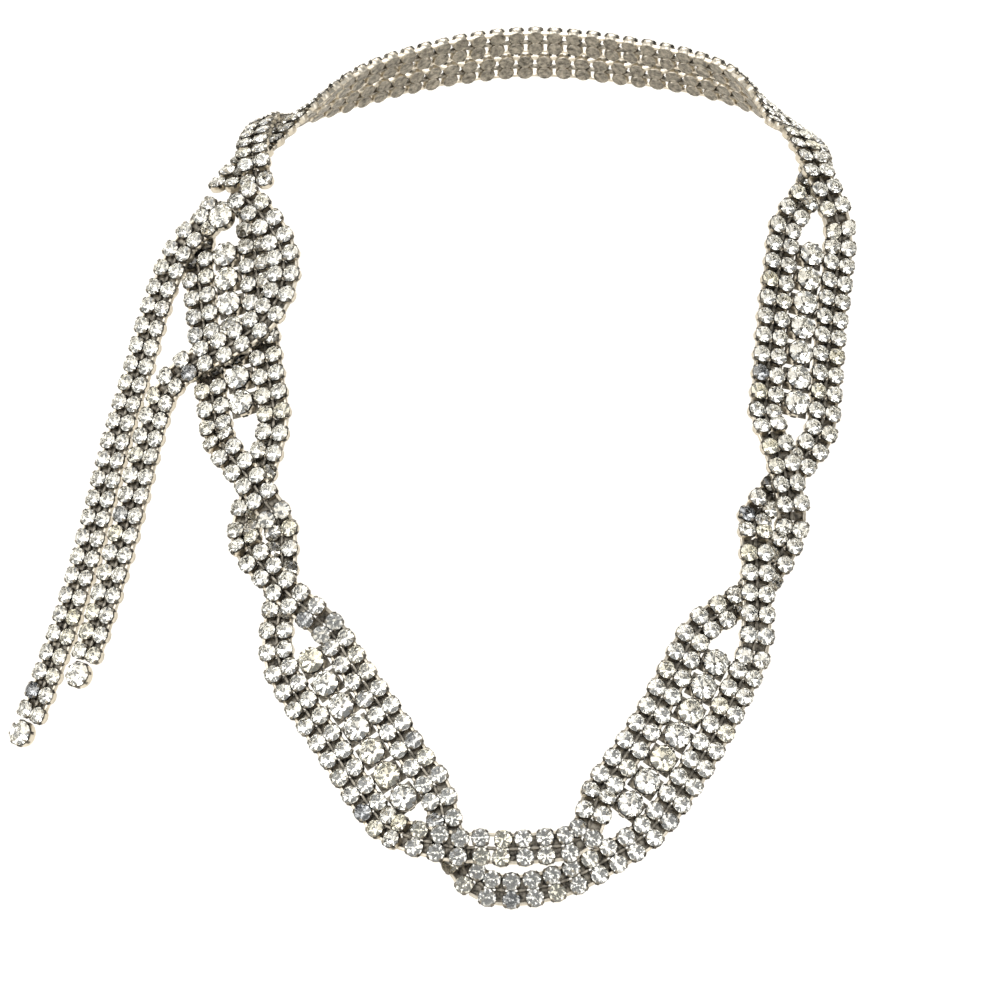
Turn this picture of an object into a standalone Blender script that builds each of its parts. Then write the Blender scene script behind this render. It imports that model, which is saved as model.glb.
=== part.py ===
"""A two-strand rhinestone bib necklace, in the form it has when worn, with two loose tails.

Each strand is a band two small stones wide, made of soldered pairs of cups joined by short links.
The strands swap places along the front. Where they stand apart, a row of large stones fills the panel.
Origin: the nape of the wearer's neck. +Z is up, -Y is the front, +X is the viewer's right.
"""
import bmesh
import bpy
from mathutils import Matrix, Vector

MM = 0.001

# Driving sizes in millimetres
SMALL_CUP = 4.7        # across the cup of a small stone
SMALL_CUP_WALL = 2.1   # height of a small stone's cup
SMALL_STONE_TOP = 3.0  # back of the cup to the table of a small stone
SMALL_TABLE_INSET = 1.0
ROW_PITCH = 5.7        # from one pair of small stones to the next
LINK_NECK_INSET = 0.9  # how far a link's neck lies inside the band's edge
LINK_THICKNESS = 1.3

LARGE_CUP = 7.2        # across the cup of a large stone
LARGE_CUP_WALL = 2.6
LARGE_RIM = 0.45       # width of the cup's rim round the stone
LARGE_CROWN = 1.1      # rise from the rim to the table
LARGE_TABLE_INSET = 1.3
LARGE_SIDES = 12
LARGE_PITCH = 7.6
LINK_BAR_WIDTH = 1.6
LINK_BAR_BASE = 0.4    # from the back of a large cup to its link bar
LINK_BAR_THICKNESS = 0.9

CLEARANCE = 0.3        # between pieces that touch on the real necklace
CLASP_LENGTH = 9.0
CLASP_WIDTH = 9.0
CLASP_THICKNESS = 1.4
CLASP_BEVEL = 0.4
CLASP_DROP = 1.6       # from the middle line down to the clasp, which is flat under curved strands

# The wearer that the necklace is draped on
SHOULDER_Z = -44.0
SHOULDER_Y = -62.0
SHOULDER_REACH = 76.0  # how far the chest lies in front of the nape, at the shoulders
CHEST_Z = -231.0
CHEST_REACH = 136.0    # the same at the foot of the necklace
CHEST_BOW = 15.0       # how much steeper the chest is at the shoulders than at the foot
CHEST_ROUNDING = 450.0
NECK_CENTRE_Y = -62.0
OUTWARD_SHARE = 0.6    # how far a band on the shoulder faces out, against up
UPWARD_SHARE = 0.8
TURN_Z = -27.0         # middle of the height where a band turns from facing forward to facing up
HALF_TURN = 18.0       # half that height

BAND = 2 * SMALL_CUP
OPEN = (BAND + LARGE_CUP) / 2 + CLEARANCE      # strand to middle line, beside large stones
BESIDE = BAND / 2 + 1.7 * CLEARANCE            # strand to middle line, side by side
CROSSED = 0.0
LAYER = SMALL_STONE_TOP + CLEARANCE            # one band lying over another
OVER_LARGE = LARGE_CUP_WALL + LARGE_CROWN + 1.5 * CLEARANCE
LEVEL, A_OVER, B_OVER = 0, 1, -1
STONES = 7

# The middle line between the strands, from the clasp round the nape and the front back to the clasp.
# Columns: x, z, place of strand a (inner side positive), which strand lies over, large stones centred here
MIDDLE_LINE = [
    (-80.2, -46.2, BESIDE, LEVEL, 0),
    (-76.0, -34.7, CROSSED, A_OVER, 0),
    (-64.5, -22.0, -BESIDE, LEVEL, 0),
    (-37.0, -7.5, -BESIDE, LEVEL, 0),
    (0.0, 0.0, -BESIDE, LEVEL, 0),
    (37.0, -4.0, -BESIDE, LEVEL, 0),
    (61.4, -11.6, -BESIDE, LEVEL, 0),
    (76.2, -26.0, -BESIDE, LEVEL, 0),
    (81.6, -43.3, CROSSED, B_OVER, 0),
    (80.2, -61.2, OPEN, LEVEL, 0),
    (76.5, -85.9, OPEN, LEVEL, STONES),
    (73.8, -110.1, OPEN, LEVEL, 0),
    (70.1, -128.8, CROSSED, A_OVER, 0),
    (66.7, -140.8, -BESIDE, LEVEL, 0),
    (61.5, -157.9, CROSSED, B_OVER, 0),
    (51.7, -175.1, OPEN, LEVEL, 0),
    (40.0, -196.2, OPEN, LEVEL, STONES),
    (27.4, -213.8, OPEN, LEVEL, 0),
    (15.8, -226.6, 0.75 * BESIDE, A_OVER, 0),
    (0.1, -230.5, BESIDE, A_OVER, 0),
    (-9.2, -230.1, BESIDE, A_OVER, 0),
    (-19.0, -225.1, CROSSED, A_OVER, 0),
    (-31.7, -212.5, -OPEN, LEVEL, 0),
    (-44.4, -194.4, -OPEN, LEVEL, STONES),
    (-57.5, -175.4, -OPEN, LEVEL, 0),
    (-65.6, -156.6, CROSSED, B_OVER, 0),
    (-71.0, -141.6, BESIDE, LEVEL, 0),
    (-72.9, -129.9, CROSSED, A_OVER, 0),
    (-76.6, -110.9, -OPEN, LEVEL, 0),
    (-80.5, -86.0, -OPEN, LEVEL, STONES),
    (-83.2, -61.4, -OPEN, LEVEL, 0),
    (-80.6, -48.9, -BESIDE, LEVEL, 0),
]
PANEL_NAMES = ("right_upper", "right_lower", "left_lower", "left_upper")

# The loose tails, from the clasp down. Columns: x, z, height above the chest
LONG_TAIL_LINE = [
    (-85.6, -55.2, LAYER),
    (-90.8, -59.1, LAYER),
    (-95.1, -64.2, LAYER),
    (-98.9, -73.0, LAYER),
    (-102.4, -83.1, 0.8 * LAYER),
    (-108.2, -100.3, 0.1 * LAYER),
    (-112.7, -115.0, 0.0),
    (-117.6, -135.9, 0.0),
    (-121.8, -152.6, 0.0),
    (-126.4, -168.2, 0.0),
    (-133.2, -187.4, 0.0),
    (-136.3, -194.6, 0.0),
]
SHORT_TAIL_LINE = [
    (-78.2, -48.6, 1.5 * OVER_LARGE),
    (-70.8, -56.6, 1.3 * OVER_LARGE),
    (-66.9, -63.2, OVER_LARGE),
    (-65.2, -69.3, OVER_LARGE),
    (-65.7, -75.2, OVER_LARGE),
    (-67.9, -81.1, OVER_LARGE),
    (-73.0, -87.1, OVER_LARGE),
    (-81.7, -92.8, OVER_LARGE),
    (-90.6, -97.1, OVER_LARGE),
    (-96.7, -102.5, 0.85 * OVER_LARGE),
    (-101.2, -109.6, 0.3 * OVER_LARGE),
    (-104.6, -119.6, 0.0),
    (-108.3, -136.1, 0.0),
    (-112.6, -152.6, 0.0),
    (-117.4, -169.5, 0.0),
    (-120.4, -178.2, 0.0),
]
CLASP_STONE_PLACE = (-81.8, -57.0)
CLASP_STONE_HEIGHT = LAYER + SMALL_STONE_TOP + 2 * CLEARANCE

SILVER = (0.62, 0.60, 0.55, 1.0)
CRYSTAL = (0.86, 0.88, 0.90, 1.0)
OVER_GAIN = 3.0        # keeps the upper strand fully lifted well past each crossing
ROUTE_STEP = 0.5       # spacing of the points along a smoothed line


def clear_scene():
    for old in list(bpy.data.objects):
        bpy.data.objects.remove(old, do_unlink=True)


def depth(x, z):
    """Y of the wearer's outline where the necklace lies on it."""
    if z > SHOULDER_Z:
        return SHOULDER_Y * max(0.0, z / SHOULDER_Z)
    rise = (z - CHEST_Z) / (SHOULDER_Z - CHEST_Z)
    fall = (CHEST_REACH - SHOULDER_REACH - CHEST_BOW) * rise + CHEST_BOW * rise * rise
    return x * x / CHEST_ROUNDING - CHEST_REACH + fall


def facing(point):
    """Unit vector out of the wearer at a point of the line."""
    x, y, z = point
    height = SHOULDER_Z - CHEST_Z
    fall = (CHEST_REACH - SHOULDER_REACH - CHEST_BOW + 2 * CHEST_BOW * (z - CHEST_Z) / height) / height
    forward = Vector((2 * x / CHEST_ROUNDING, -1.0, fall)).normalized()
    out = Vector((x, y - NECK_CENTRE_Y, 0.0)).normalized()
    upward = Vector((OUTWARD_SHARE * out.x, OUTWARD_SHARE * out.y, UPWARD_SHARE)).normalized()
    share = min(1.0, max(0.0, (z - TURN_Z + HALF_TURN) / (2 * HALF_TURN)))
    share = share * share * (3 - 2 * share)
    return (forward * (1 - share) + upward * share).normalized()


def slopes(stations, values, keep_flat):
    """Slope at each station: through the neighbours, or flat at turning points."""
    result = []
    last = len(values) - 1
    for i in range(len(values)):
        a, b = max(0, i - 1), min(last, i + 1)
        before = (values[i] - values[a]) / (stations[i] - stations[a]) if i > 0 else 0.0
        after = (values[b] - values[i]) / (stations[b] - stations[i]) if i < last else 0.0
        if keep_flat:
            flat = before * after <= 0
            result.append(0.0 if flat else 2 * before * after / (before + after))
        else:
            result.append((values[b] - values[a]) / (stations[b] - stations[a]))
    return result


class SmoothLine:
    """A smooth line through a table's points on the wearer, with its other columns eased along it."""

    def __init__(self, rows):
        knots = [Vector((row[0], depth(row[0], row[1]), row[1])) for row in rows]
        stations = [0.0]
        for a, b in zip(knots, knots[1:]):
            stations.append(stations[-1] + (b - a).length)
        self.knots = stations
        columns = [[p[axis] for p in knots] for axis in range(3)]
        eased = [list(column) for column in zip(*(row[2:4] for row in rows))]
        self.columns = [(c, slopes(stations, c, False)) for c in columns]
        self.columns += [(c, slopes(stations, c, True)) for c in eased]

    def at(self, station):
        """Values of all columns at a station: x, y, z, then the eased ones."""
        station = min(max(station, 0.0), self.knots[-1])
        i = 0
        while i < len(self.knots) - 2 and self.knots[i + 1] < station:
            i += 1
        span = self.knots[i + 1] - self.knots[i]
        t = (station - self.knots[i]) / span
        blend = (2 * t**3 - 3 * t**2 + 1, t**3 - 2 * t**2 + t, 3 * t**2 - 2 * t**3, t**3 - t**2)
        found = []
        for values, slope in self.columns:
            weights = (values[i], slope[i] * span, values[i + 1], slope[i + 1] * span)
            found.append(sum(b * w for b, w in zip(blend, weights)))
        return found

    def frame(self, station):
        """Point, direction, inner side and outward facing at a station."""
        point = Vector(self.at(station)[:3])
        ahead = Vector(self.at(station + ROUTE_STEP)[:3]) - Vector(self.at(station - ROUTE_STEP)[:3])
        along = ahead.normalized()
        out = facing(point)
        inner = along.cross(out).normalized()
        return point, along, inner, inner.cross(along)


def strand_point(line, station, side):
    """Centre of a strand's back at a station of the middle line: side 1 is strand a, -1 strand b."""
    point, _, inner, out = line.frame(station)
    spread, over = line.at(station)[3:5]
    lift = LAYER * min(1.0, max(0.0, OVER_GAIN * over * side))
    return point + inner * spread * side + out * lift, out


def tail_point(line, station):
    point, _, _, out = line.frame(station)
    return point + out * line.at(station)[3], out


def evenly_spaced(place, length, spacing):
    """Points and facings every half spacing along place(station), measured on the line it draws."""
    count = int(length / ROUTE_STEP)
    traced = [place(length * i / count) for i in range(count + 1)]
    run = [0.0]
    for (a, _), (b, _) in zip(traced, traced[1:]):
        run.append(run[-1] + (b - a).length)
    rows = max(2, round(run[-1] / spacing))
    found, j = [], 0
    for i in range(2 * rows + 1):
        goal = run[-1] * i / (2 * rows)
        while j < count - 1 and run[j + 1] < goal:
            j += 1
        share = (goal - run[j]) / (run[j + 1] - run[j])
        found.append((traced[j][0].lerp(traced[j + 1][0], share), traced[j][1]))
    return found


def band_section(at_row):
    """Outline of a band as (sideways, out) pairs: full at a row of cups, necked at its links."""
    half = BAND / 2
    if at_row:
        table = half - SMALL_TABLE_INSET
        return [(-half, 0), (half, 0), (half, SMALL_CUP_WALL), (table, SMALL_STONE_TOP),
                (-table, SMALL_STONE_TOP), (-half, SMALL_CUP_WALL)]
    neck = half - LINK_NECK_INSET
    shoulder = neck - LINK_THICKNESS / 2
    return [(-neck, 0), (neck, 0), (neck, LINK_THICKNESS / 2), (shoulder, LINK_THICKNESS),
            (-shoulder, LINK_THICKNESS), (-neck, LINK_THICKNESS / 2)]


def band_mesh(name, places):
    """A band lofted along its places, which alternate between a link and a row of cups."""
    bm = bmesh.new()
    rings = []
    for i, (point, out) in enumerate(places):
        before, after = places[max(0, i - 1)][0], places[min(len(places) - 1, i + 1)][0]
        along = (after - before).normalized()
        inner = along.cross(out).normalized()
        up = inner.cross(along)
        section = band_section(i % 2 == 1)
        rings.append([bm.verts.new((point + inner * s + up * u) * MM) for s, u in section])
    for a, b in zip(rings, rings[1:]):
        for i in range(len(a)):
            j = (i + 1) % len(a)
            bm.faces.new((a[i], a[j], b[j], b[i]))
    bm.faces.new(rings[0])
    bm.faces.new(rings[-1])
    bmesh.ops.recalc_face_normals(bm, faces=bm.faces)
    mesh = bpy.data.meshes.new(name)
    bm.to_mesh(mesh)
    bm.free()
    return mesh


def cup_and_stone(bm):
    """A round cup standing on z = 0 with a faceted stone: rim, crown and table."""
    made = bmesh.ops.create_cone(bm, cap_ends=True, segments=LARGE_SIDES, radius1=LARGE_CUP / 2 * MM,
                                 radius2=LARGE_CUP / 2 * MM, depth=LARGE_CUP_WALL * MM)
    bmesh.ops.translate(bm, verts=made["verts"], vec=(0, 0, LARGE_CUP_WALL / 2 * MM))
    top = max(bm.faces, key=lambda face: face.calc_center_median().z)
    bmesh.ops.inset_region(bm, faces=[top], thickness=LARGE_RIM * MM, use_even_offset=True)
    bmesh.ops.inset_region(bm, faces=[top], thickness=LARGE_TABLE_INSET * MM,
                           depth=LARGE_CROWN * MM, use_even_offset=True)


def link_bar(bm, start, end):
    """A flat bar along x, from start to end, low on the cup."""
    size = Vector((end - start, LINK_BAR_WIDTH, LINK_BAR_THICKNESS)) * MM
    middle = Vector(((start + end) / 2, 0, LINK_BAR_BASE + LINK_BAR_THICKNESS / 2)) * MM
    bmesh.ops.create_cube(bm, size=1, matrix=Matrix.Translation(middle) @ Matrix.Diagonal((*size, 1)))


def large_stone_mesh(name, reach_before, reach_after):
    """A large stone in its cup, with link bars that reach towards its neighbours along x."""
    pieces = []
    for part in ("cup", "bar"):
        bm = bmesh.new()
        if part == "cup":
            cup_and_stone(bm)
        else:
            link_bar(bm, -reach_before, reach_after)
        mesh = bpy.data.meshes.new(f"{name}_{part}")
        bm.to_mesh(mesh)
        bm.free()
        pieces.append(bpy.data.objects.new(mesh.name, mesh))
    scene = bpy.context.scene.collection
    for piece in pieces:
        scene.objects.link(piece)
    joined = pieces[0].modifiers.new("solder", "BOOLEAN")
    joined.operation = "UNION"
    joined.object = pieces[1]
    evaluated = pieces[0].evaluated_get(bpy.context.evaluated_depsgraph_get())
    fused = bpy.data.meshes.new_from_object(evaluated)
    fused.name = name
    for piece in pieces:
        bpy.data.objects.remove(piece, do_unlink=True)
    return fused


def material(name, colour, metallic, roughness):
    made = bpy.data.materials.new(name)
    made.use_nodes = True
    shader = made.node_tree.nodes["Principled BSDF"]
    shader.inputs["Base Color"].default_value = colour
    shader.inputs["Metallic"].default_value = metallic
    shader.inputs["Roughness"].default_value = roughness
    return made


def place_object(collection, name, mesh, made_of):
    piece = bpy.data.objects.new(name, mesh)
    if not mesh.materials:
        mesh.materials.append(made_of)
    collection.objects.link(piece)
    return piece


def turn_to(piece, point, along, out):
    """Stands a piece at a point with its x axis along the line and its z axis out of the wearer."""
    inner = out.cross(along).normalized()
    ahead = inner.cross(out).normalized()
    turned = Matrix((ahead, inner, out)).transposed().to_4x4()
    piece.matrix_world = Matrix.Translation(point * MM) @ turned


def build_strands(collection, line, metal):
    for name, side in (("strand_a", 1), ("strand_b", -1)):
        places = evenly_spaced(lambda s: strand_point(line, s, side), line.knots[-1], ROW_PITCH)
        place_object(collection, name, band_mesh(name, places), metal)


def build_tails(collection, metal, crystal):
    """Each tail is a band that ends in a large stone."""
    reach = LARGE_CUP / 2 + CLEARANCE
    end_mesh = large_stone_mesh("end_stone", 0, 0)
    for name, rows in (("tail_long", LONG_TAIL_LINE), ("tail_short", SHORT_TAIL_LINE)):
        line = SmoothLine([(x, z, height, 0.0) for x, z, height in rows])
        places = evenly_spaced(lambda s: tail_point(line, s), line.knots[-1], ROW_PITCH)
        place_object(collection, name, band_mesh(name, places), metal)
        (last, out), (before, _) = places[-1], places[-2]
        along = (last - before).normalized()
        end = place_object(collection, f"{name}_end_stone", end_mesh, crystal)
        turn_to(end, last + along * reach, along, out)


def build_large_stones(collection, line, crystal):
    reach = LARGE_PITCH / 2 - CLEARANCE / 2
    mesh = large_stone_mesh("large_stone", reach, reach)
    centres = [line.knots[i] for i, row in enumerate(MIDDLE_LINE) if row[4]]
    for panel, centre in zip(PANEL_NAMES, centres):
        for k in range(STONES):
            station = centre + (k - (STONES - 1) / 2) * LARGE_PITCH
            point, along, _, out = line.frame(station)
            stone = place_object(collection, f"{panel}_stone_{k + 1}", mesh, crystal)
            turn_to(stone, point, along, out)


def build_clasp(collection, line, metal, crystal):
    """A plain flat clasp under the ends of both strands, and the large stone that covers it."""
    start, end = line.frame(0.0), line.frame(line.knots[-1])
    middle, out = (start[0] + end[0]) / 2, (start[3] + end[3]).normalized()
    along = (end[0] - start[0]).normalized()
    bm = bmesh.new()
    size = Vector((CLASP_LENGTH, CLASP_WIDTH, CLASP_THICKNESS)) * MM
    bmesh.ops.create_cube(bm, size=1, matrix=Matrix.Diagonal((*size, 1)))
    mesh = bpy.data.meshes.new("clasp")
    bm.to_mesh(mesh)
    bm.free()
    clasp = place_object(collection, "clasp", mesh, metal)
    turn_to(clasp, middle - out * (CLASP_THICKNESS / 2 + CLASP_DROP), along, out)
    bevel = clasp.modifiers.new("edges", "BEVEL")
    bevel.width = CLASP_BEVEL * MM
    bevel.segments = 1
    x, z = CLASP_STONE_PLACE
    point = Vector((x, depth(x, z), z))
    stone = place_object(collection, "clasp_stone", large_stone_mesh("clasp_stone", 0, 0), crystal)
    outward = facing(point)
    turn_to(stone, point + outward * CLASP_STONE_HEIGHT, along, outward)


def build():
    clear_scene()
    collection = bpy.data.collections.new("bib_necklace")
    bpy.context.scene.collection.children.link(collection)
    metal = material("silver_plated_cups", SILVER, 1.0, 0.3)
    crystal = material("clear_rhinestone", CRYSTAL, 0.0, 0.08)
    line = SmoothLine(MIDDLE_LINE)
    build_strands(collection, line, metal)
    build_tails(collection, metal, crystal)
    build_large_stones(collection, line, crystal)
    build_clasp(collection, line, metal, crystal)


build()
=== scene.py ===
"""The looks of a two-strand rhinestone bib necklace, in the form it has when worn."""
import math
import random

import bmesh
import bpy
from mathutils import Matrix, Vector


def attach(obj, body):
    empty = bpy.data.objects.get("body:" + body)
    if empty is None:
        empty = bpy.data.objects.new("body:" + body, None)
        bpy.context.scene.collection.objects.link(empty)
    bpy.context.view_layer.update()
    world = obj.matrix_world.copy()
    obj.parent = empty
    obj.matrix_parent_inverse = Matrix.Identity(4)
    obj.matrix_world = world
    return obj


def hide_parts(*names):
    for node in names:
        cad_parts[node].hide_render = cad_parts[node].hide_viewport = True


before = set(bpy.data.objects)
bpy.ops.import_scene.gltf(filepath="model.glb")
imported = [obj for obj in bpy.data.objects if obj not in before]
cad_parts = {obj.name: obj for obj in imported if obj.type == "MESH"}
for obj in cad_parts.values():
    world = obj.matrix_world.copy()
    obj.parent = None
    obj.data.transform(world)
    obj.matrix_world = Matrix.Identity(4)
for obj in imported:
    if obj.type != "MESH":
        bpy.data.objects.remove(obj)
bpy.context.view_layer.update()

# The middle line
# Two strands run side by side round the neck and swap places along the front. The line half-way
# between them lies on the wearer, from the clasp round the nape, down and up again to the clasp.
MM = 0.001
SMALL_CUP = 4.7
STONE_TOP = 3.0
ROW_PITCH = 5.7
LARGE_CUP = 7.2
LARGE_TOP = 3.7
LARGE_PITCH = 7.6
CLEARANCE = 0.3
OPEN = SMALL_CUP + LARGE_CUP / 2 + CLEARANCE
BESIDE = SMALL_CUP + 1.7 * CLEARANCE
CROSSED = 0.0
LAYER = STONE_TOP + CLEARANCE
OVER_LARGE = LARGE_TOP + 1.5 * CLEARANCE
LEVEL, A_OVER, B_OVER = 0, 1, -1
STONES = 7
# Columns: x, z, place of strand a (inner side positive), which strand lies over, large stones here.
MIDDLE_LINE = [
    (-80.2, -46.2, BESIDE, LEVEL, 0),
    (-76.0, -34.7, CROSSED, A_OVER, 0),
    (-64.5, -22.0, -BESIDE, LEVEL, 0),
    (-37.0, -7.5, -BESIDE, LEVEL, 0),
    (0.0, 0.0, -BESIDE, LEVEL, 0),
    (37.0, -4.0, -BESIDE, LEVEL, 0),
    (61.4, -11.6, -BESIDE, LEVEL, 0),
    (76.2, -26.0, -BESIDE, LEVEL, 0),
    (81.6, -43.3, CROSSED, B_OVER, 0),
    (80.2, -61.2, OPEN, LEVEL, 0),
    (76.5, -85.9, OPEN, LEVEL, STONES),
    (73.8, -110.1, OPEN, LEVEL, 0),
    (70.1, -128.8, CROSSED, A_OVER, 0),
    (66.7, -140.8, -BESIDE, LEVEL, 0),
    (61.5, -157.9, CROSSED, B_OVER, 0),
    (51.7, -175.1, OPEN, LEVEL, 0),
    (40.0, -196.2, OPEN, LEVEL, STONES),
    (27.4, -213.8, OPEN, LEVEL, 0),
    (15.8, -226.6, 0.75 * BESIDE, A_OVER, 0),
    (0.1, -230.5, BESIDE, A_OVER, 0),
    (-9.2, -230.1, BESIDE, A_OVER, 0),
    (-19.0, -225.1, CROSSED, A_OVER, 0),
    (-31.7, -212.5, -OPEN, LEVEL, 0),
    (-44.4, -194.4, -OPEN, LEVEL, STONES),
    (-57.5, -175.4, -OPEN, LEVEL, 0),
    (-65.6, -156.6, CROSSED, B_OVER, 0),
    (-71.0, -141.6, BESIDE, LEVEL, 0),
    (-72.9, -129.9, CROSSED, A_OVER, 0),
    (-76.6, -110.9, -OPEN, LEVEL, 0),
    (-80.5, -86.0, -OPEN, LEVEL, STONES),
    (-83.2, -61.4, -OPEN, LEVEL, 0),
    (-80.6, -48.9, -BESIDE, LEVEL, 0),
]

# The wearer's outline: heights, how far forward it reaches, and the rounding of the chest.
SHOULDER_Z, SHOULDER_Y, SHOULDER_REACH = -44.0, -62.0, 76.0
CHEST_Z, CHEST_REACH, CHEST_BOW, CHEST_ROUNDING = -231.0, 136.0, 15.0, 450.0
NECK_CENTRE_Y = -62.0
# Round the nape the stones face outwards and up. They turn that way over HALF_TURN each side of TURN_Z.
OUTWARD_SHARE, UPWARD_SHARE, TURN_Z, HALF_TURN = 0.6, 0.8, -27.0, 18.0
# How fast a strand rises to its full height where it lies over the other, and the step along a route.
OVER_GAIN = 3.0
ROUTE_STEP = 0.5


def depth(x, z):
    """Y of the wearer's outline where the necklace lies on it."""
    if z > SHOULDER_Z:
        return SHOULDER_Y * max(0.0, z / SHOULDER_Z)
    rise = (z - CHEST_Z) / (SHOULDER_Z - CHEST_Z)
    fall = (CHEST_REACH - SHOULDER_REACH - CHEST_BOW) * rise + CHEST_BOW * rise * rise
    return x * x / CHEST_ROUNDING - CHEST_REACH + fall


def facing(point):
    """Unit vector out of the wearer at a point of the line."""
    x, y, z = point
    height = SHOULDER_Z - CHEST_Z
    fall = (CHEST_REACH - SHOULDER_REACH - CHEST_BOW + 2 * CHEST_BOW * (z - CHEST_Z) / height) / height
    forward = Vector((2 * x / CHEST_ROUNDING, -1.0, fall)).normalized()
    out = Vector((x, y - NECK_CENTRE_Y, 0.0)).normalized()
    upward = Vector((OUTWARD_SHARE * out.x, OUTWARD_SHARE * out.y, UPWARD_SHARE)).normalized()
    share = min(1.0, max(0.0, (z - TURN_Z + HALF_TURN) / (2 * HALF_TURN)))
    share = share * share * (3 - 2 * share)
    return (forward * (1 - share) + upward * share).normalized()


def slopes(stations, values, keep_flat):
    """Slope at each station: through the neighbours, or flat at turning points."""
    result = []
    last = len(values) - 1
    for i in range(len(values)):
        a, b = max(0, i - 1), min(last, i + 1)
        before = (values[i] - values[a]) / (stations[i] - stations[a]) if i > 0 else 0.0
        after = (values[b] - values[i]) / (stations[b] - stations[i]) if i < last else 0.0
        if keep_flat:
            flat = before * after <= 0
            result.append(0.0 if flat else 2 * before * after / (before + after))
        else:
            result.append((values[b] - values[a]) / (stations[b] - stations[a]))
    return result


class SmoothLine:
    """A smooth line through a table's points on the wearer, with its other columns eased along it."""

    def __init__(self, rows):
        knots = [Vector((row[0], depth(row[0], row[1]), row[1])) for row in rows]
        stations = [0.0]
        for a, b in zip(knots, knots[1:]):
            stations.append(stations[-1] + (b - a).length)
        self.knots = stations
        columns = [[p[axis] for p in knots] for axis in range(3)]
        eased = [list(column) for column in zip(*(row[2:4] for row in rows))]
        self.columns = [(c, slopes(stations, c, False)) for c in columns]
        self.columns += [(c, slopes(stations, c, True)) for c in eased]

    def at(self, station):
        """Values of all columns at a station: x, y, z, then the eased ones."""
        station = min(max(station, 0.0), self.knots[-1])
        i = 0
        while i < len(self.knots) - 2 and self.knots[i + 1] < station:
            i += 1
        span = self.knots[i + 1] - self.knots[i]
        t = (station - self.knots[i]) / span
        blend = (2 * t**3 - 3 * t**2 + 1, t**3 - 2 * t**2 + t, 3 * t**2 - 2 * t**3, t**3 - t**2)
        found = []
        for values, slope in self.columns:
            weights = (values[i], slope[i] * span, values[i + 1], slope[i + 1] * span)
            found.append(sum(b * w for b, w in zip(blend, weights)))
        return found

    def frame(self, station):
        """Point, direction, inner side and outward facing at a station."""
        point = Vector(self.at(station)[:3])
        ahead = Vector(self.at(station + ROUTE_STEP)[:3]) - Vector(self.at(station - ROUTE_STEP)[:3])
        along = ahead.normalized()
        out = facing(point)
        inner = along.cross(out).normalized()
        return point, along, inner, inner.cross(along)


middle_line = SmoothLine(MIDDLE_LINE)


def strand_point(station, side):
    """Centre of a strand's back at a station of the middle line: side 1 is strand a, -1 strand b."""
    point, _, inner, out = middle_line.frame(station)
    spread, over = middle_line.at(station)[3:5]
    lift = LAYER * min(1.0, max(0.0, OVER_GAIN * over * side))
    return point + inner * spread * side + out * lift, out


def rows_along(place, length):
    """Rows of cups a pitch apart along place(station), as (centre, along, inner, out)."""
    count = int(length / ROUTE_STEP)
    traced = [place(length * i / count) for i in range(count + 1)]
    run = [0.0]
    for (a, _), (b, _) in zip(traced, traced[1:]):
        run.append(run[-1] + (b - a).length)
    rows = max(2, round(run[-1] / ROW_PITCH))
    found, j = [], 0
    for i in range(2 * rows + 1):
        goal = run[-1] * i / (2 * rows)
        while j < count - 1 and run[j + 1] < goal:
            j += 1
        share = (goal - run[j]) / (run[j + 1] - run[j])
        found.append((traced[j][0].lerp(traced[j + 1][0], share), traced[j][1]))
    result = []
    for i in range(1, 2 * rows, 2):
        point, out = found[i]
        along = (found[i + 1][0] - found[i - 1][0]).normalized()
        inner = along.cross(out).normalized()
        result.append((point, along, inner, inner.cross(along)))
    return result


# Small cups
# Each small stone sits in a round cup stamped from thin brass sheet, with four claws bent over the
# stone. The plating shows bright on the outer walls. The rims, the claws, the base and the inside are
# painted dark: partly real tarnish, and partly painted shade where the parts shade each other.
CUP_SIDES, CUP_SMOOTHING = 12, 40.0
# Columns: radius, height, from the base up the wall and down inside. Each row has its level below:
# high is clean, lit plate, and low is tarnish and painted shade.
CUP_PROFILE = [(2.2, 0.0), (2.46, 0.3), (2.5, 1.85), (2.5, 2.2), (2.42, 2.4), (2.38, 2.3), (2.0, 0.12)]
CUP_CLEAN_AND_LIT = [0.3, 0.8, 0.9, 0.15, 0.05, 0.0, 0.0]
CUP_SPACING = 4.85
CLAWS = 4
CLAW = {"foot": 1.5, "top": 2.75, "tip_radius": 2.0, "width": 1.0, "thickness": 0.35}
CLAW_INSET, CLAW_BEND, CLAW_TIP_SHARE, CLAW_LEAN_SHARE = 0.05, 0.3, 0.7, 0.6
# Claw levels from foot to tip: the claws are painted dark, partly tarnish and partly painted shade.
CLAW_CLEAN_AND_LIT = (0.2, 0.1, 0.4)
# The dark colour stands for tarnish and for painted shade alike; the plate colour is the plating's own.
PLATE_COLOUR, TARNISH_AND_SHADE_COLOUR = "#d3cab9", "#1f1d1a"
PLATE_ROUGHNESS, TARNISH_AND_SHADE_ROUGHNESS = 0.3, 0.5
GRAIN_SIZE, GRAIN_DETAIL, GRAIN_ROUGHNESS = 1.4, 4.0, 0.6
TARNISH_AND_SHADE_BELOW, BRIGHT_ABOVE = 0.55, 1.3
DENT_STRENGTH, DENT_DEPTH = 0.15, 0.1


def linear(hex_colour):
    """An sRGB hex colour as linear RGBA."""
    channels = [int(hex_colour[i:i + 2], 16) / 255 for i in (1, 3, 5)]
    return (*[c / 12.92 if c <= 0.04045 else ((c + 0.055) / 1.055) ** 2.4 for c in channels], 1.0)


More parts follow.
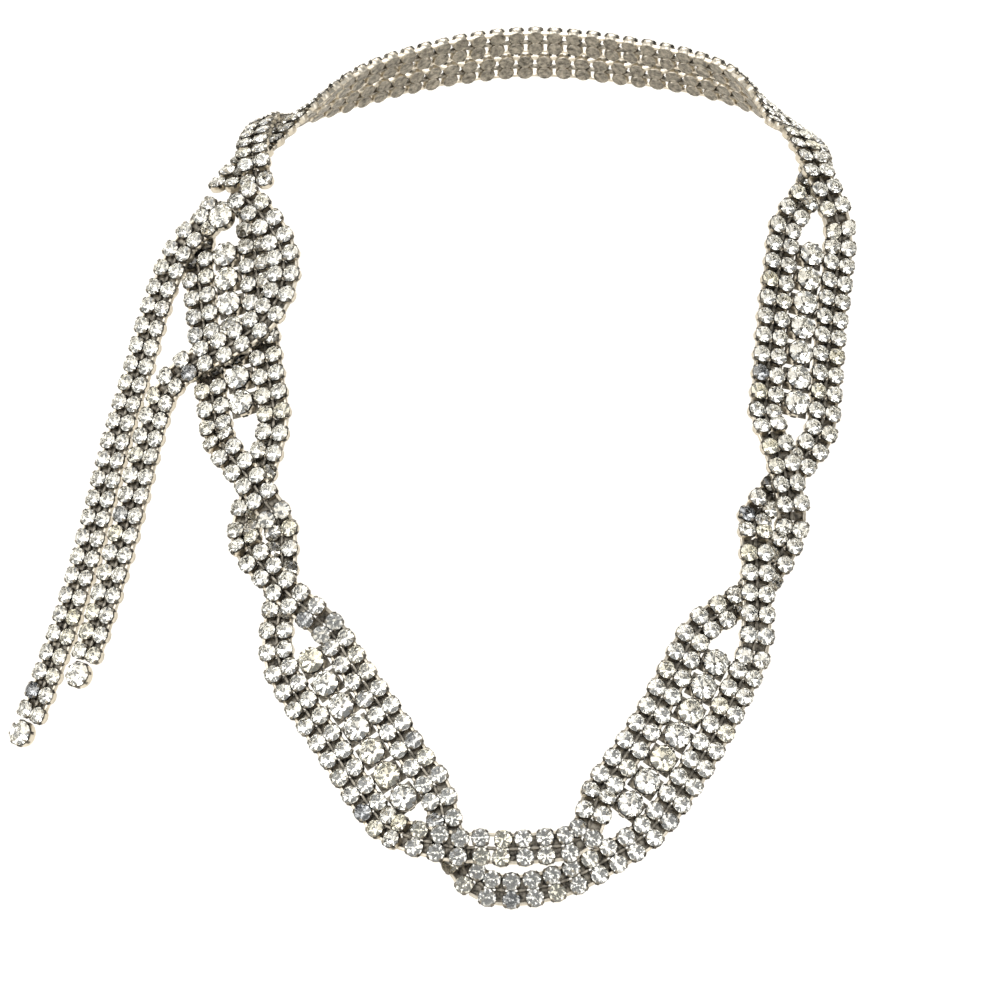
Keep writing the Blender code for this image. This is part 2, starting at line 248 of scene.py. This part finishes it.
def add(tree, kind, inputs=None, **settings):
    """A node of a kind with its settings, and its inputs set or linked."""
    node = tree.nodes.new(kind)
    for name, value in settings.items():
        setattr(node, name, value)
    for key, value in (inputs or {}).items():
        if isinstance(value, bpy.types.NodeSocket):
            tree.links.new(value, node.inputs[key])
        else:
            node.inputs[key].default_value = value
    return node


def mix(tree, factor, low_colour, high_colour):
    """A colour between two hex colours, as a socket."""
    mixed = add(tree, "ShaderNodeMix", {
        "Factor": factor, "A": linear(low_colour), "B": linear(high_colour)}, data_type="RGBA")
    return mixed.outputs["Result"]


def new_material(name):
    """An empty material, with its node tree and its surface socket."""
    made = bpy.data.materials.new(name)
    made.use_nodes = True
    made.node_tree.nodes.clear()
    output = add(made.node_tree, "ShaderNodeOutputMaterial")
    return made, made.node_tree, output.inputs["Surface"]


# The plate runs from its own colour to the dark one by each point's level plus grain noise. The dark is
# partly tarnish and partly painted shade on rims, bases, claws, recesses, links and back plates.
silver_plate, tree, surface = new_material("silver_plate_on_stamped_brass")
spot = add(tree, "ShaderNodeTexCoord")
grain = add(tree, "ShaderNodeTexNoise", {
    "Vector": spot.outputs["Object"], "Scale": 1 / (GRAIN_SIZE * MM), "Detail": GRAIN_DETAIL,
    "Roughness": GRAIN_ROUGHNESS})
plate_clean_and_lit = add(tree, "ShaderNodeAttribute", attribute_name="plate_clean_and_lit")
bright = add(tree, "ShaderNodeMath", {0: plate_clean_and_lit.outputs["Fac"], 1: grain.outputs["Fac"]}, operation="ADD")
share = add(tree, "ShaderNodeMapRange", {
    "Value": bright.outputs[0], "From Min": TARNISH_AND_SHADE_BELOW, "From Max": BRIGHT_ABOVE})
tint = mix(tree, share.outputs[0], TARNISH_AND_SHADE_COLOUR, PLATE_COLOUR)
rough = add(tree, "ShaderNodeMapRange", {
    "Value": share.outputs[0], "To Min": TARNISH_AND_SHADE_ROUGHNESS, "To Max": PLATE_ROUGHNESS})
dents = add(tree, "ShaderNodeBump", {
    "Height": grain.outputs["Fac"], "Strength": DENT_STRENGTH, "Distance": DENT_DEPTH * MM})
plate = add(tree, "ShaderNodeBsdfPrincipled", {
    "Base Color": tint, "Metallic": 1.0, "Roughness": rough.outputs[0], "Normal": dents.outputs[0]})
tree.links.new(plate.outputs[0], surface)


def ring_of(bm, count, radius, height, shift=0.0):
    """Points evenly round a circle, in millimetres."""
    turns = [2 * math.pi * (i + shift) / count for i in range(count)]
    return [bm.verts.new(Vector((radius * math.cos(t), radius * math.sin(t), height)) * MM) for t in turns]


def turned(bm, profile, sides, ring_clean_and_lit):
    """A closed turned body from a profile of (radius, height), bottom to top and back down inside."""
    layer = bm.verts.layers.float["plate_clean_and_lit"]
    rings = [ring_of(bm, sides, radius, height) for radius, height in profile]
    for ring, worn in zip(rings, ring_clean_and_lit):
        for vert in ring:
            vert[layer] = worn
    for low, high in zip(rings, rings[1:]):
        for i in range(sides):
            j = (i + 1) % sides
            bm.faces.new((low[i], low[j], high[j], high[i]))
    bm.faces.new(list(reversed(rings[0])))
    bm.faces.new(rings[-1])


def claw(bm, turn, wall_radius, foot, top, tip_radius, width, thickness):
    """A claw that rises on the cup's wall and bends inwards over the stone."""
    layer = bm.verts.layers.float["plate_clean_and_lit"]
    steps = [(wall_radius, foot), (wall_radius - CLAW_INSET, top - CLAW_BEND), (tip_radius, top)]
    out = Vector((math.cos(turn), math.sin(turn), 0))
    aside = Vector((-math.sin(turn), math.cos(turn), 0))
    rings = []
    for (radius, height), worn in zip(steps, CLAW_CLEAN_AND_LIT):
        tip = height == top
        half = width / 2 * (CLAW_TIP_SHARE if tip else 1.0)
        lean = (Vector((0, 0, 1)) if tip else out) * thickness * CLAW_LEAN_SHARE
        ring = []
        for side, front in ((-1, 0), (1, 0), (1, 1), (-1, 1)):
            place = out * radius + Vector((0, 0, height)) + aside * half * side + lean * front
            vert = bm.verts.new(place * MM)
            vert[layer] = worn
            ring.append(vert)
        rings.append(ring)
    for low, high in zip(rings, rings[1:]):
        for i in range(len(low)):
            j = (i + 1) % len(low)
            bm.faces.new((low[i], low[j], high[j], high[i]))
    bm.faces.new(rings[0])
    bm.faces.new(rings[-1])


patterns = []


def pattern(name, fill):
    """A mesh object that is only copied: fill(bm) makes its shape."""
    bm = bmesh.new()
    bm.verts.layers.float.new("plate_clean_and_lit")
    bm.faces.layers.bool.new("foil")
    fill(bm)
    bmesh.ops.recalc_face_normals(bm, faces=bm.faces)
    mesh = bpy.data.meshes.new(name)
    bm.to_mesh(mesh)
    bm.free()
    patterns.append(bpy.data.objects.new(name, mesh))
    return patterns[-1]


def small_cup(bm):
    """A small cup with its claws on the outer wall."""
    turned(bm, CUP_PROFILE, CUP_SIDES, CUP_CLEAN_AND_LIT)
    for k in range(CLAWS):
        claw(bm, 2 * math.pi * (k + 0.5) / CLAWS, CUP_PROFILE[2][0], **CLAW)


small_cup_pattern = pattern("small_cup_pattern", small_cup)

# Rows of copies
# One node group stands a copy of a piece on every point of a row, with a small lean and turn of its
# own. It also gives each copy a number from 0 to 1, luck, by which stones yellow and foil goes grey.
setting_tree = bpy.data.node_groups.new("set_along_a_line", "GeometryNodeTree")
SETTING_INPUTS = {"Geometry": "Geometry", "Piece": "Object", "Tilt": "Float", "Turn": "Float",
                  "Seed": "Int", "Finish": "Material", "Backing": "Material"}
for name, kind in SETTING_INPUTS.items():
    setting_tree.interface.new_socket(name, in_out="INPUT", socket_type="NodeSocket" + kind)
setting_tree.interface.new_socket("Geometry", in_out="OUTPUT", socket_type="NodeSocketGeometry")
given = add(setting_tree, "NodeGroupInput").outputs
out_axis, along_axis = (
    add(setting_tree, "GeometryNodeInputNamedAttribute", {"Name": axis}, data_type="FLOAT_VECTOR")
    for axis in ("out", "along"))
stand = add(setting_tree, "FunctionNodeAxesToRotation", {
    "Primary Axis": out_axis.outputs["Attribute"], "Secondary Axis": along_axis.outputs["Attribute"]},
    primary_axis="Z", secondary_axis="X")
piece = add(setting_tree, "GeometryNodeObjectInfo", {"Object": given["Piece"]})
placed = add(setting_tree, "GeometryNodeInstanceOnPoints", {
    "Points": given["Geometry"], "Instance": piece.outputs["Geometry"],
    "Rotation": stand.outputs["Rotation"]})
most = add(setting_tree, "ShaderNodeCombineXYZ", {
    "X": given["Tilt"], "Y": given["Tilt"], "Z": given["Turn"]})
least = add(setting_tree, "ShaderNodeVectorMath", {0: most.outputs[0], "Scale": -1.0}, operation="SCALE")
nudge = add(setting_tree, "FunctionNodeRandomValue", {
    "Min": least.outputs[0], "Max": most.outputs[0], "Seed": given["Seed"]}, data_type="FLOAT_VECTOR")
leaning = add(setting_tree, "FunctionNodeEulerToRotation", {"Euler": nudge.outputs["Value"]})
settled = add(setting_tree, "GeometryNodeRotateInstances", {
    "Instances": placed.outputs["Instances"], "Rotation": leaning.outputs["Rotation"], "Local Space": True})
luck = add(setting_tree, "FunctionNodeRandomValue", {"Seed": given["Seed"]}, data_type="FLOAT")
marked = add(setting_tree, "GeometryNodeStoreNamedAttribute", {
    "Geometry": settled.outputs["Instances"], "Name": "luck", "Value": luck.outputs["Value"]},
    data_type="FLOAT", domain="INSTANCE")
solid = add(setting_tree, "GeometryNodeRealizeInstances", {"Geometry": marked.outputs["Geometry"]})
finished = add(setting_tree, "GeometryNodeSetMaterial", {
    "Geometry": solid.outputs["Geometry"], "Material": given["Finish"]})
foiled = add(setting_tree, "GeometryNodeInputNamedAttribute", {"Name": "foil"}, data_type="BOOLEAN")
backed = add(setting_tree, "GeometryNodeSetMaterial", {
    "Geometry": finished.outputs["Geometry"], "Selection": foiled.outputs["Attribute"],
    "Material": given["Backing"]})
add(setting_tree, "NodeGroupOutput", {"Geometry": backed.outputs["Geometry"]})


def set_along(name, places, copied, finish, backing=None, tilt=0.0, turn=0.0, seed=0, smooth_angle=None):
    """A plain mesh of copies of a pattern, one at each (centre, along, out). Angles are in degrees."""
    mesh = bpy.data.meshes.new(name)
    mesh.from_pydata([centre * MM for centre, _, _ in places], [], [])
    for axis, index in (("along", 1), ("out", 2)):
        layer = mesh.attributes.new(axis, "FLOAT_VECTOR", "POINT")
        for i, place in enumerate(places):
            layer.data[i].vector = place[index]
    made = bpy.data.objects.new(name, mesh)
    bpy.context.scene.collection.objects.link(made)
    setting = made.modifiers.new("setting", "NODES")
    setting.node_group = setting_tree
    values = {"Piece": copied, "Tilt": math.radians(tilt), "Turn": math.radians(turn), "Seed": seed,
              "Finish": finish, "Backing": backing or finish}
    for item in setting_tree.interface.items_tree:
        if item.in_out == "INPUT" and item.name in values:
            setting[item.identifier] = values[item.name]
    evaluated = made.evaluated_get(bpy.context.evaluated_depsgraph_get())
    result = bpy.data.meshes.new_from_object(evaluated)
    made.modifiers.clear()
    made.data = result
    if smooth_angle:
        result.shade_smooth()
        result.set_sharp_from_angle(angle=math.radians(smooth_angle))
    return made


# Small stones
# Machine-cut chatons of clear crystal: an octagonal table, star, kite and girdle facets above, and a
# pointed back of flat facets with a mirror foil that throws the light back. Some stones have yellowed
# with age, and under a few the foil has gone grey.
FACETS = 8
CHATON = {"girdle": 2.38, "girdle_height": 2.36, "star": 1.82, "star_height": 2.72, "table": 1.2,
          "top": 2.97, "point_height": 0.36}
CRYSTAL_COLOUR, CRYSTAL_AGED = "#ffffff", "#faf6e6"
FOIL_COLOUR, FOIL_GREY = "#f3f2ee", "#bfc0c1"
YELLOWED_ABOVE, GREYED_BELOW = 0.8, 0.06
CRYSTAL_IOR, FOIL_ROUGHNESS = 1.56, 0.06

crystal, tree, surface = new_material("machine_cut_crystal")
luck = add(tree, "ShaderNodeAttribute", attribute_name="luck")
aged = add(tree, "ShaderNodeMapRange", {"Value": luck.outputs["Fac"], "From Min": YELLOWED_ABOVE})
hue = mix(tree, aged.outputs[0], CRYSTAL_COLOUR, CRYSTAL_AGED)
cut = add(tree, "ShaderNodeBsdfPrincipled", {
    "Base Color": hue, "Roughness": 0.0, "IOR": CRYSTAL_IOR, "Transmission Weight": 1.0})
tree.links.new(cut.outputs[0], surface)

foil, tree, surface = new_material("mirror_foil")
luck = add(tree, "ShaderNodeAttribute", attribute_name="luck")
greyed = add(tree, "ShaderNodeMapRange", {
    "Value": luck.outputs["Fac"], "From Min": GREYED_BELOW, "From Max": 0.0})
hue = mix(tree, greyed.outputs[0], FOIL_COLOUR, FOIL_GREY)
backing = add(tree, "ShaderNodeBsdfPrincipled", {
    "Base Color": hue, "Metallic": 1.0, "Roughness": FOIL_ROUGHNESS})
tree.links.new(backing.outputs[0], surface)


def chaton(bm, sizes):
    """A closed cut stone with a waved girdle, so that each of the foiled facets behind is flat."""
    foil_layer = bm.faces.layers.bool["foil"]
    table = ring_of(bm, FACETS, sizes["table"], sizes["top"])
    star = ring_of(bm, FACETS, sizes["star"], sizes["star_height"], 0.5)
    girdle = ring_of(bm, 2 * FACETS, sizes["girdle"], sizes["girdle_height"])
    depth_of_back = sizes["girdle_height"] - sizes["point_height"]
    for vert in girdle[1::2]:
        vert.co.z += depth_of_back * (1 / math.cos(math.pi / FACETS) - 1) * MM
    point = bm.verts.new((0, 0, sizes["point_height"] * MM))
    bm.faces.new(table)
    for i in range(FACETS):
        j, left, mid, right = (i + 1) % FACETS, 2 * i, 2 * i + 1, (2 * i + 2) % (2 * FACETS)
        bm.faces.new((table[i], star[i], table[j]))
        bm.faces.new((table[j], star[i], girdle[right], star[j]))
        bm.faces.new((star[i], girdle[left], girdle[mid]))
        bm.faces.new((star[i], girdle[mid], girdle[right]))
        bm.faces.new((point, girdle[right], girdle[mid], girdle[left]))[foil_layer] = True


chaton_pattern = pattern("chaton_pattern", lambda bm: chaton(bm, CHATON))

# Links
# Three short stamped bars join each row of cups to the next, and a dab of solder joins the two cups of
# a row. Behind most of the gaps a flat plate closes the band's back; it is painted dark as painted shade,
# standing for the shadow seen through the gaps. The middle bar and the solder are painted darker too,
# as painted shade between the cups. All are the same plated brass.
HALF_LINK = 1.25
LINK_WIDTH, LINK_LOW, LINK_TOP = 0.9, 0.4, 1.5
LINK_PLACES, LINK_CLEAN_AND_LIT = (-3.6, 0.0, 3.6), (0.7, 0.3, 0.7)
# The back plate's low level paints it dark, as painted shade behind the gaps.
BACK_WIDTH, BACK_LOW, BACK_TOP, BACK_CLEAN_AND_LIT = 6.4, 0.1, 0.6, 0.2
HALF_SOLDER = 0.75
SOLDER_WIDTH, SOLDER_LOW, SOLDER_TOP, SOLDER_CLEAN_AND_LIT, SOLDER_SMOOTHING = 1.6, 0.2, 1.7, 0.4, 30.0
BAR_EASED_SHARE = 0.2


def bar(bm, start, end, width, low, high, worn=0.1, aside=0.0):
    """A flat bar along x from start to end with its upper edges eased, aside from the x axis. Its worn
    level is clean, lit plate when high, and tarnish and painted shade when low.
    """
    layer = bm.verts.layers.float["plate_clean_and_lit"]
    ease = BAR_EASED_SHARE * min(width, high - low)
    left, right = aside - width / 2, aside + width / 2
    rings = []
    for x in (start, end):
        outline = [(left, low), (right, low), (right, high - ease), (right - ease, high),
                   (left + ease, high), (left, high - ease)]
        ring = [bm.verts.new(Vector((x, y, z)) * MM) for y, z in outline]
        for vert in ring:
            vert[layer] = worn
        rings.append(ring)
    for i in range(len(outline)):
        j = (i + 1) % len(outline)
        bm.faces.new((rings[0][i], rings[0][j], rings[1][j], rings[1][i]))
    bm.faces.new(rings[0])
    bm.faces.new(rings[1])


def open_link(bm):
    """The bars between two rows, with light between them."""
    for place, worn in zip(LINK_PLACES, LINK_CLEAN_AND_LIT):
        bar(bm, -HALF_LINK, HALF_LINK, LINK_WIDTH, LINK_LOW, LINK_TOP, worn, place)


def backed_link(bm):
    """The bars between two rows, and a dark plate behind them that paints the shade in the gap."""
    open_link(bm)
    bar(bm, -HALF_LINK, HALF_LINK, BACK_WIDTH, BACK_LOW, BACK_TOP, BACK_CLEAN_AND_LIT)


open_link_pattern = pattern("open_link_pattern", open_link)
backed_link_pattern = pattern("backed_link_pattern", backed_link)
solder_pattern = pattern("solder_pattern", lambda bm: bar(
    bm, -HALF_SOLDER, HALF_SOLDER, SOLDER_WIDTH, SOLDER_LOW, SOLDER_TOP, SOLDER_CLEAN_AND_LIT))

# Strands and tails
# Four bands, each two small stones wide. The two strands go round the neck and cross along the front,
# and the two loose tails hang from the clasp. Every row is a rigid pair, and the links between flex.
ROW_SEED, STONE_SEED = 7, 20
ROW_TILT, STONE_TILT, STONE_TURN = 2.0, 2.5, 180.0
# Light falls through the gaps in this part of a strand at the foot, and above this height at the nape.
# Elsewhere a dark plate behind the gaps paints the shade seen through them.
FOOT_BAND, FOOT_Z, FOOT_LEFT, FOOT_RIGHT = "strand_a", -218.0, -15.0, -1.0
NAPE_Z = -22.0
# Columns: x, z, height above the wearer.
LONG_TAIL_LINE = [
    (-85.6, -55.2, LAYER),
    (-90.8, -59.1, LAYER),
    (-95.1, -64.2, LAYER),
    (-98.9, -73.0, LAYER),
    (-102.4, -83.1, 0.8 * LAYER),
    (-108.2, -100.3, 0.1 * LAYER),
    (-112.7, -115.0, 0.0),
    (-117.6, -135.9, 0.0),
    (-121.8, -152.6, 0.0),
    (-126.4, -168.2, 0.0),
    (-133.2, -187.4, 0.0),
    (-136.3, -194.6, 0.0),
]
SHORT_TAIL_LINE = [
    (-78.2, -48.6, 1.5 * OVER_LARGE),
    (-70.8, -56.6, 1.3 * OVER_LARGE),
    (-66.9, -63.2, OVER_LARGE),
    (-65.2, -69.3, OVER_LARGE),
    (-65.7, -75.2, OVER_LARGE),
    (-67.9, -81.1, OVER_LARGE),
    (-73.0, -87.1, OVER_LARGE),
    (-81.7, -92.8, OVER_LARGE),
    (-90.6, -97.1, OVER_LARGE),
    (-96.7, -102.5, 0.85 * OVER_LARGE),
    (-101.2, -109.6, 0.3 * OVER_LARGE),
    (-104.6, -119.6, 0.0),
    (-108.3, -136.1, 0.0),
    (-112.6, -152.6, 0.0),
    (-117.4, -169.5, 0.0),
    (-120.4, -178.2, 0.0),
]


def tail_rows(table):
    """The rows of a tail along its own line."""
    line = SmoothLine([(x, z, height, 0.0) for x, z, height in table])

    def place(station):
        point, _, _, out = line.frame(station)
        return point + out * line.at(station)[3], out
    return rows_along(place, line.knots[-1])


tails = {"tail_long": tail_rows(LONG_TAIL_LINE), "tail_short": tail_rows(SHORT_TAIL_LINE)}
bands = {"strand_a": rows_along(lambda s: strand_point(s, 1), middle_line.knots[-1]),
         "strand_b": rows_along(lambda s: strand_point(s, -1), middle_line.knots[-1]), **tails}
chance = random.Random(ROW_SEED)
for seed, (name, rows) in enumerate(bands.items()):
    cups, solder, backed_links, open_links = [], [], [], []
    for point, along, inner, out in rows:
        lean = out + inner * math.tan(math.radians(chance.uniform(-ROW_TILT, ROW_TILT)))
        lean = (lean + along * math.tan(math.radians(chance.uniform(-ROW_TILT, ROW_TILT)))).normalized()
        across = lean.cross(along).normalized()
        for side in (-1, 1):
            cups.append((point + across * side * CUP_SPACING / 2, along, lean))
        solder.append((point, across, lean))
    for (a, _, _, up_a), (b, _, _, up_b) in zip(rows, rows[1:]):
        link = ((a + b) / 2, (b - a).normalized(), (up_a + up_b).normalized())
        at_foot = name == FOOT_BAND and a.z < FOOT_Z and FOOT_LEFT < a.x < FOOT_RIGHT
        (open_links if at_foot or a.z > NAPE_Z else backed_links).append(link)
    pieces = [
        set_along(f"{name}_cups", cups, small_cup_pattern, silver_plate, seed=seed,
                  smooth_angle=CUP_SMOOTHING),
        set_along(f"{name}_stones", cups, chaton_pattern, crystal, foil, tilt=STONE_TILT, turn=STONE_TURN,
                  seed=seed + STONE_SEED),
        set_along(f"{name}_links", backed_links, backed_link_pattern, silver_plate, seed=seed)]
    if open_links:
        pieces.append(set_along(f"{name}_open_links", open_links, open_link_pattern, silver_plate,
                                seed=seed))
    pieces.append(set_along(f"{name}_solder", solder, solder_pattern, silver_plate, seed=seed,
                            smooth_angle=SOLDER_SMOOTHING))
    for made in pieces:
        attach(made, "root")
        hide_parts(name)

# Large stones
# Bigger chatons, each in its own deep cup with eight narrow claws. Seven fill each panel between the
# strands, joined in a row by flat bars, and a plate under each cup closes the panel's back; it is
# painted dark as painted shade in the notches between the round cups. One more stone ends each tail
# and one covers the clasp.
PANELS = ("right_upper", "right_lower", "left_lower", "left_upper")
LARGE_CUP_PROFILE = [(3.2, 0.0), (3.57, 0.4), (3.62, 2.2), (3.62, 2.75), (3.52, 3.0), (3.48, 2.85),
                     (3.1, 0.05)]
LARGE_CHATON = {"girdle": 3.46, "girdle_height": 2.95, "star": 2.8, "star_height": 3.3, "table": 1.95,
                "top": 3.55, "point_height": 0.1}
LARGE_CUP_SIDES, LARGE_CLAWS = 20, 8
LARGE_CLAW = {"foot": 1.6, "top": 3.4, "tip_radius": 3.0, "width": 0.75, "thickness": 0.35}
LARGE_BAR_INSET, LARGE_BAR_WIDTH, LARGE_BAR_LOW, LARGE_BAR_TOP = 0.3, 1.6, 0.4, 1.2
# The panel plate's low level paints it dark, as painted shade in the notches between the cups.
HALF_PLATE, PLATE_WIDTH, PLATE_LOW, PLATE_TOP, PANEL_PLATE_CLEAN_AND_LIT = 3.2, 7.7, 0.1, 0.5, 0.25
LARGE_TILT = 2.0
LARGE_STONE_SEED, PANEL_SEED, TAIL_SEED, CLASP_SEED = 40, 60, 70, 75


def large_cup(bm):
    """A large cup with its claws on the outer wall."""
    turned(bm, LARGE_CUP_PROFILE, LARGE_CUP_SIDES, CUP_CLEAN_AND_LIT)
    for k in range(LARGE_CLAWS):
        claw(bm, 2 * math.pi * (k + 0.5) / LARGE_CLAWS, LARGE_CUP / 2, **LARGE_CLAW)


def linked_large_cup(bm):
    """A large cup of a panel, with a bar to each neighbour and a dark plate behind, painted shade in the
    notches.
    """
    large_cup(bm)
    for side in (-1, 1):
        bar(bm, side * (LARGE_CUP / 2 - LARGE_BAR_INSET), side * (LARGE_PITCH - CLEARANCE) / 2,
            LARGE_BAR_WIDTH, LARGE_BAR_LOW, LARGE_BAR_TOP)
    bar(bm, -HALF_PLATE, HALF_PLATE, PLATE_WIDTH, PLATE_LOW, PLATE_TOP, PANEL_PLATE_CLEAN_AND_LIT)


large_cup_pattern = pattern("large_cup_pattern", large_cup)
linked_cup_pattern = pattern("linked_cup_pattern", linked_large_cup)
large_chaton_pattern = pattern("large_chaton_pattern", lambda bm: chaton(bm, LARGE_CHATON))


def set_large(name, places, nodes, cup_pattern, seed):
    """Large stones in their cups at the places given, in the place of the CAD nodes named."""
    cups = set_along(f"{name}_cups", places, cup_pattern, silver_plate, seed=seed,
                     smooth_angle=CUP_SMOOTHING)
    crystals = set_along(f"{name}_crystals", places, large_chaton_pattern, crystal, foil, tilt=LARGE_TILT,
                         turn=STONE_TURN, seed=seed + LARGE_STONE_SEED)
    for made in (cups, crystals):
        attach(made, "root")
        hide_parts(*nodes)


centres = [middle_line.knots[i] for i, row in enumerate(MIDDLE_LINE) if row[4]]
for seed, (panel, centre) in enumerate(zip(PANELS, centres)):
    places = []
    for k in range(STONES):
        point, along, _, out = middle_line.frame(centre + (k - (STONES - 1) / 2) * LARGE_PITCH)
        places.append((point, along, out))
    nodes = [f"{panel}_stone_{k + 1}" for k in range(STONES)]
    set_large(f"{panel}_stones", places, nodes, linked_cup_pattern, seed + PANEL_SEED)

for seed, (name, rows) in enumerate(tails.items()):
    point, along, _, out = rows[-1]
    reach = (ROW_PITCH + LARGE_CUP) / 2
    set_large(f"{name}_end", [(point + along * reach, along, out)], [f"{name}_end_stone"],
              large_cup_pattern, seed + TAIL_SEED)

CLASP_STONE_PLACE = (-81.8, -57.0)
CLASP_STONE_HEIGHT = LAYER + STONE_TOP + 2 * CLEARANCE
x, z = CLASP_STONE_PLACE
point = Vector((x, depth(x, z), z))
outward = facing(point)
along = Vector((1, 0, 0)).cross(outward).normalized()
set_large("clasp_cover", [(point + outward * CLASP_STONE_HEIGHT, along, outward)], ["clasp_stone"],
          large_cup_pattern, CLASP_SEED)

# Clasp
# A plain flat box clasp of the same plated brass, under the ends of both strands. It is hidden when the
# necklace is worn, so it keeps the plain form of its frame solid and gets the plate's finish.
CLASP_CLEAN_AND_LIT = 0.6
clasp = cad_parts["clasp"]
clasp.data.materials.clear()
clasp.data.materials.append(silver_plate)
clasp_clean_and_lit_layer = clasp.data.attributes.new("plate_clean_and_lit", "FLOAT", "POINT")
clasp_clean_and_lit_layer.data.foreach_set("value", [CLASP_CLEAN_AND_LIT] * len(clasp.data.vertices))

# Studio
# A plain pale sweep behind and below, and soft light from three windows in front, from both sides and
# from above. The stones send back the light from near the camera, which looks level at the front from
# a metre away, as the photograph does. Sizes here are in metres.
SWEEP_COLOUR, SWEEP_ROUGHNESS, SWEEP_GRAIN = "#f5f2ec", (0.75, 0.85), 3.0
FLOOR_Z, WALL_Y, SWEEP_RADIUS, SWEEP_HALF = -0.42, 0.22, 0.25, 2.5
SWEEP_FRONT_Y, SWEEP_TOP_Z, SWEEP_STEPS = -3.0, 2.0, 12
CAMERA_DISTANCE, FRAME_WIDTH, SENSOR_WIDTH, FARTHEST = 1.0, 0.27, 36.0, 20.0
AIM = Vector((-0.00675, -0.11, -0.133))
WORLD_COLOUR, WORLD_STRENGTH = "#dfe2e6", 0.36

sweep_material, tree, surface = new_material("matt_painted_board")
spot = add(tree, "ShaderNodeTexCoord")
mottle = add(tree, "ShaderNodeTexNoise", {"Vector": spot.outputs["Object"], "Scale": SWEEP_GRAIN})
wash = add(tree, "ShaderNodeMapRange", {
    "Value": mottle.outputs["Fac"], "To Min": SWEEP_ROUGHNESS[0], "To Max": SWEEP_ROUGHNESS[1]})
board = add(tree, "ShaderNodeBsdfPrincipled", {
    "Base Color": linear(SWEEP_COLOUR), "Roughness": wash.outputs[0]})
tree.links.new(board.outputs[0], surface)

bm = bmesh.new()
outline = [(SWEEP_FRONT_Y, FLOOR_Z), (WALL_Y - SWEEP_RADIUS, FLOOR_Z)]
for step in range(1, SWEEP_STEPS + 1):
    turn = math.pi / 2 * step / SWEEP_STEPS
    outline.append((WALL_Y - SWEEP_RADIUS + SWEEP_RADIUS * math.sin(turn),
                    FLOOR_Z + SWEEP_RADIUS - SWEEP_RADIUS * math.cos(turn)))
outline.append((WALL_Y, SWEEP_TOP_Z))
edges = [[bm.verts.new((x, y, z)) for y, z in outline] for x in (-SWEEP_HALF, SWEEP_HALF)]
for i in range(len(outline) - 1):
    bm.faces.new((edges[0][i], edges[1][i], edges[1][i + 1], edges[0][i + 1]))
mesh = bpy.data.meshes.new("sweep")
bm.to_mesh(mesh)
bm.free()
mesh.shade_smooth()
mesh.materials.append(sweep_material)
sweep = bpy.data.objects.new("sweep", mesh)
bpy.context.scene.collection.objects.link(sweep)

# Columns: place, width, height, watts.
LIGHTS = {
    "window_left": ((-0.95, -1.9, 0.75), 1.1, 1.2, 8.5),
    "window_right": ((0.65, -2.0, 0.5), 0.8, 1.0, 3.6),
    "side_left": ((-1.6, -0.8, 0.6), 1.2, 1.4, 14.0),
    "side_right": ((1.6, -0.8, 0.1), 1.0, 1.4, 8.0),
    "ceiling": ((0.0, -0.2, 1.4), 1.4, 0.9, 15.0),
    "window_high": ((-0.2, -2.1, 1.35), 1.6, 0.9, 14.0),
}
for name, (place, width, height, watts) in LIGHTS.items():
    lamp = bpy.data.lights.new(name, "AREA")
    lamp.shape = "RECTANGLE"
    lamp.size, lamp.size_y, lamp.energy = width, height, watts
    light = bpy.data.objects.new(name, lamp)
    light.location = place
    light.rotation_euler = (AIM - Vector(place)).to_track_quat("-Z", "Y").to_euler()
    bpy.context.scene.collection.objects.link(light)

world = bpy.data.worlds.new("studio")
world.use_nodes = True
bpy.context.scene.world = world
tree = world.node_tree
tree.nodes.clear()
shade = add(tree, "ShaderNodeBackground", {"Color": linear(WORLD_COLOUR), "Strength": WORLD_STRENGTH})
add(tree, "ShaderNodeOutputWorld", {"Surface": shade.outputs[0]})

camera_data = bpy.data.cameras.new("camera")
camera_data.sensor_width = SENSOR_WIDTH
camera_data.lens = SENSOR_WIDTH * CAMERA_DISTANCE / FRAME_WIDTH
camera_data.clip_end = FARTHEST
camera = bpy.data.objects.new("camera", camera_data)
camera.location = AIM - Vector((0, CAMERA_DISTANCE, 0))
camera.rotation_euler = (math.pi / 2, 0, 0)
bpy.context.scene.collection.objects.link(camera)
bpy.context.scene.camera = camera
bpy.context.scene.view_settings.view_transform = "Standard"

# Light is thrown to and fro many times behind a stone's foil before it comes out again.
MOST_BOUNCES = 16
bpy.context.scene.cycles.max_bounces = MOST_BOUNCES
bpy.context.scene.cycles.glossy_bounces = MOST_BOUNCES
bpy.context.scene.cycles.transmission_bounces = MOST_BOUNCES

for copied in patterns:
    bpy.data.objects.remove(copied, do_unlink=True)
